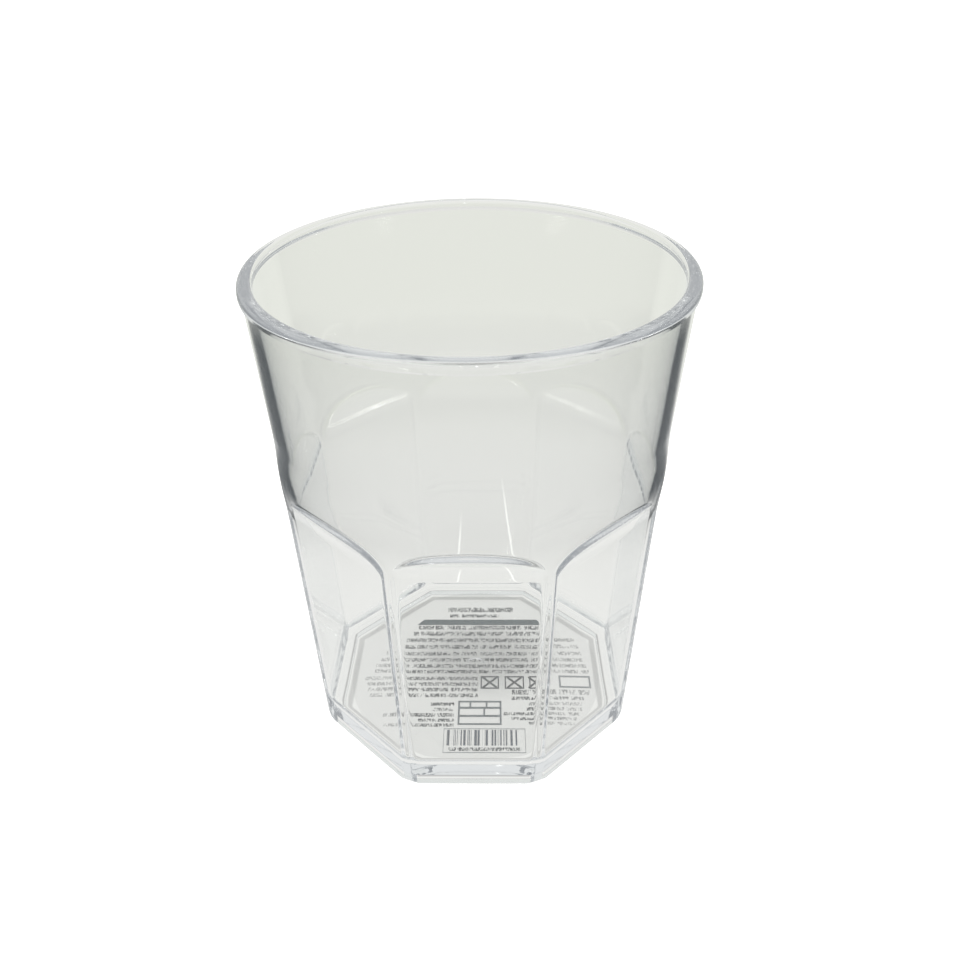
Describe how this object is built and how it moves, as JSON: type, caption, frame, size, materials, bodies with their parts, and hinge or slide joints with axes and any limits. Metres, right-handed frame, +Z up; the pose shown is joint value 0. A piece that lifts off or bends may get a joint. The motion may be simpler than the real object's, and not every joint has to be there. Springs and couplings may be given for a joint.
{
  "type": "plastic tumbler cup",
  "caption": "Clear plastic tumbler: round flared wall with a rim bead above an octagonal lower body with arched flat panels, foot ring and a round film under the floor.",
  "frame": {"origin": "centre of the foot, on the surface that the cup stands on", "axes": "+Z up along the cup's axis towards the mouth; -Y towards the middle of one flat panel; right-handed"},
  "size_m": [0.083, 0.083, 0.1],
  "materials": {
    "clear_plastic": "clear, glossy",
    "label_film": "thin translucent film with plain grey and blue-grey print fields"
  },
  "bodies": {
    "root": {"tumbler": "clear_plastic", "base_label": "label_film"}
  },
  "joints": []
}
